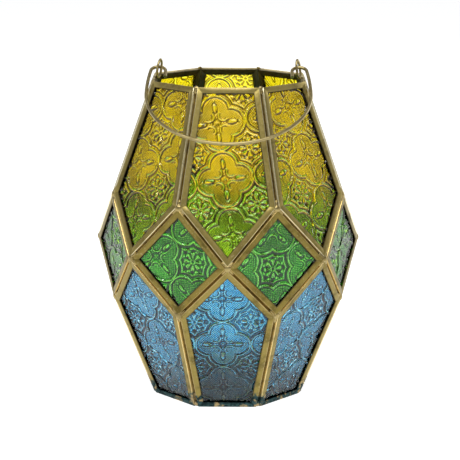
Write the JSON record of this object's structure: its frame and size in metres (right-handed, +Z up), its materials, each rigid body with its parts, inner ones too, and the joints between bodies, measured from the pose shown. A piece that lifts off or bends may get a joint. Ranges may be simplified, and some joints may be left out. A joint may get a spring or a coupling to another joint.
{
  "type": "candle lantern",
  "caption": "Faceted eight-sided candle lantern of amber, green and blue figured glass in brass came, open at the top, with a swinging wire bail.",
  "frame": {"origin": "middle of the flat foot, on the surface that the lantern stands on", "axes": "+Z up through the open top, -Y towards the front pane and the resting bail, +X towards the right ear"},
  "size_m": [0.1778, 0.1778, 0.2253],
  "materials": {
    "amber_glass": "pressed figured glass, glossy",
    "green_glass": "pressed figured glass, glossy",
    "blue_glass": "pressed figured glass, glossy",
    "brass": "antique brass channel, satin, patina at the foot",
    "solder": "brass-toned solder, glossy beads",
    "handle_wire": "antique brass wire, satin",
    "tealight_foil": "thin pressed foil, satin",
    "wax": "paraffin wax, soft satin",
    "wick": "braided cotton, waxed"
  },
  "bodies": {
    "lantern": {"glass_upper_1": "amber_glass", "came_upper_1": "brass", "glass_upper_2": "amber_glass", "came_upper_2": "brass", "glass_upper_3": "amber_glass", "came_upper_3": "brass", "glass_upper_4": "amber_glass", "came_upper_4": "brass", "glass_upper_5": "amber_glass", "came_upper_5": "brass", "glass_upper_6": "amber_glass", "came_upper_6": "brass", "glass_upper_7": "amber_glass", "came_upper_7": "brass", "glass_upper_8": "amber_glass", "came_upper_8": "brass", "glass_diamond_1": "green_glass", "came_diamond_1": "brass", "glass_diamond_2": "green_glass", "came_diamond_2": "brass", "glass_diamond_3": "green_glass", "came_diamond_3": "brass", "glass_diamond_4": "green_glass", "came_diamond_4": "brass", "glass_diamond_5": "green_glass", "came_diamond_5": "brass", "glass_diamond_6": "green_glass", "came_diamond_6": "brass", "glass_diamond_7": "green_glass", "came_diamond_7": "brass", "glass_diamond_8": "green_glass", "came_diamond_8": "brass", "glass_lower_1": "blue_glass", "came_lower_1": "brass", "glass_lower_2": "blue_glass", "came_lower_2": "brass", "glass_lower_3": "blue_glass", "came_lower_3": "brass", "glass_lower_4": "blue_glass", "came_lower_4": "brass", "glass_lower_5": "blue_glass", "came_lower_5": "brass", "glass_lower_6": "blue_glass", "came_lower_6": "brass", "glass_lower_7": "blue_glass", "came_lower_7": "brass", "glass_lower_8": "blue_glass", "came_lower_8": "brass", "base_plate": "brass", "solder_rim": "solder", "solder_belt_top": "solder", "solder_equator": "solder", "solder_belt_bottom": "solder", "solder_foot": "solder", "ear_left": "brass", "ear_right": "brass"},
    "bail": {"handle": "handle_wire"},
    "tealight": {"tealight_cup": "tealight_foil", "tealight_wax": "wax", "tealight_wick": "wick"}
  },
  "joints": [
    {"name": "bail_swing", "type": "hinge", "parent": "lantern", "child": "bail", "pos_m": [0, 0, 0.2196], "axis": [-1, 0, 0], "range_deg": [0, 235]},
    {"name": "tealight_lift", "type": "slide", "parent": "lantern", "child": "tealight", "axis": [0, 0, 1], "range_m": [0, 0.235]}
  ]
}
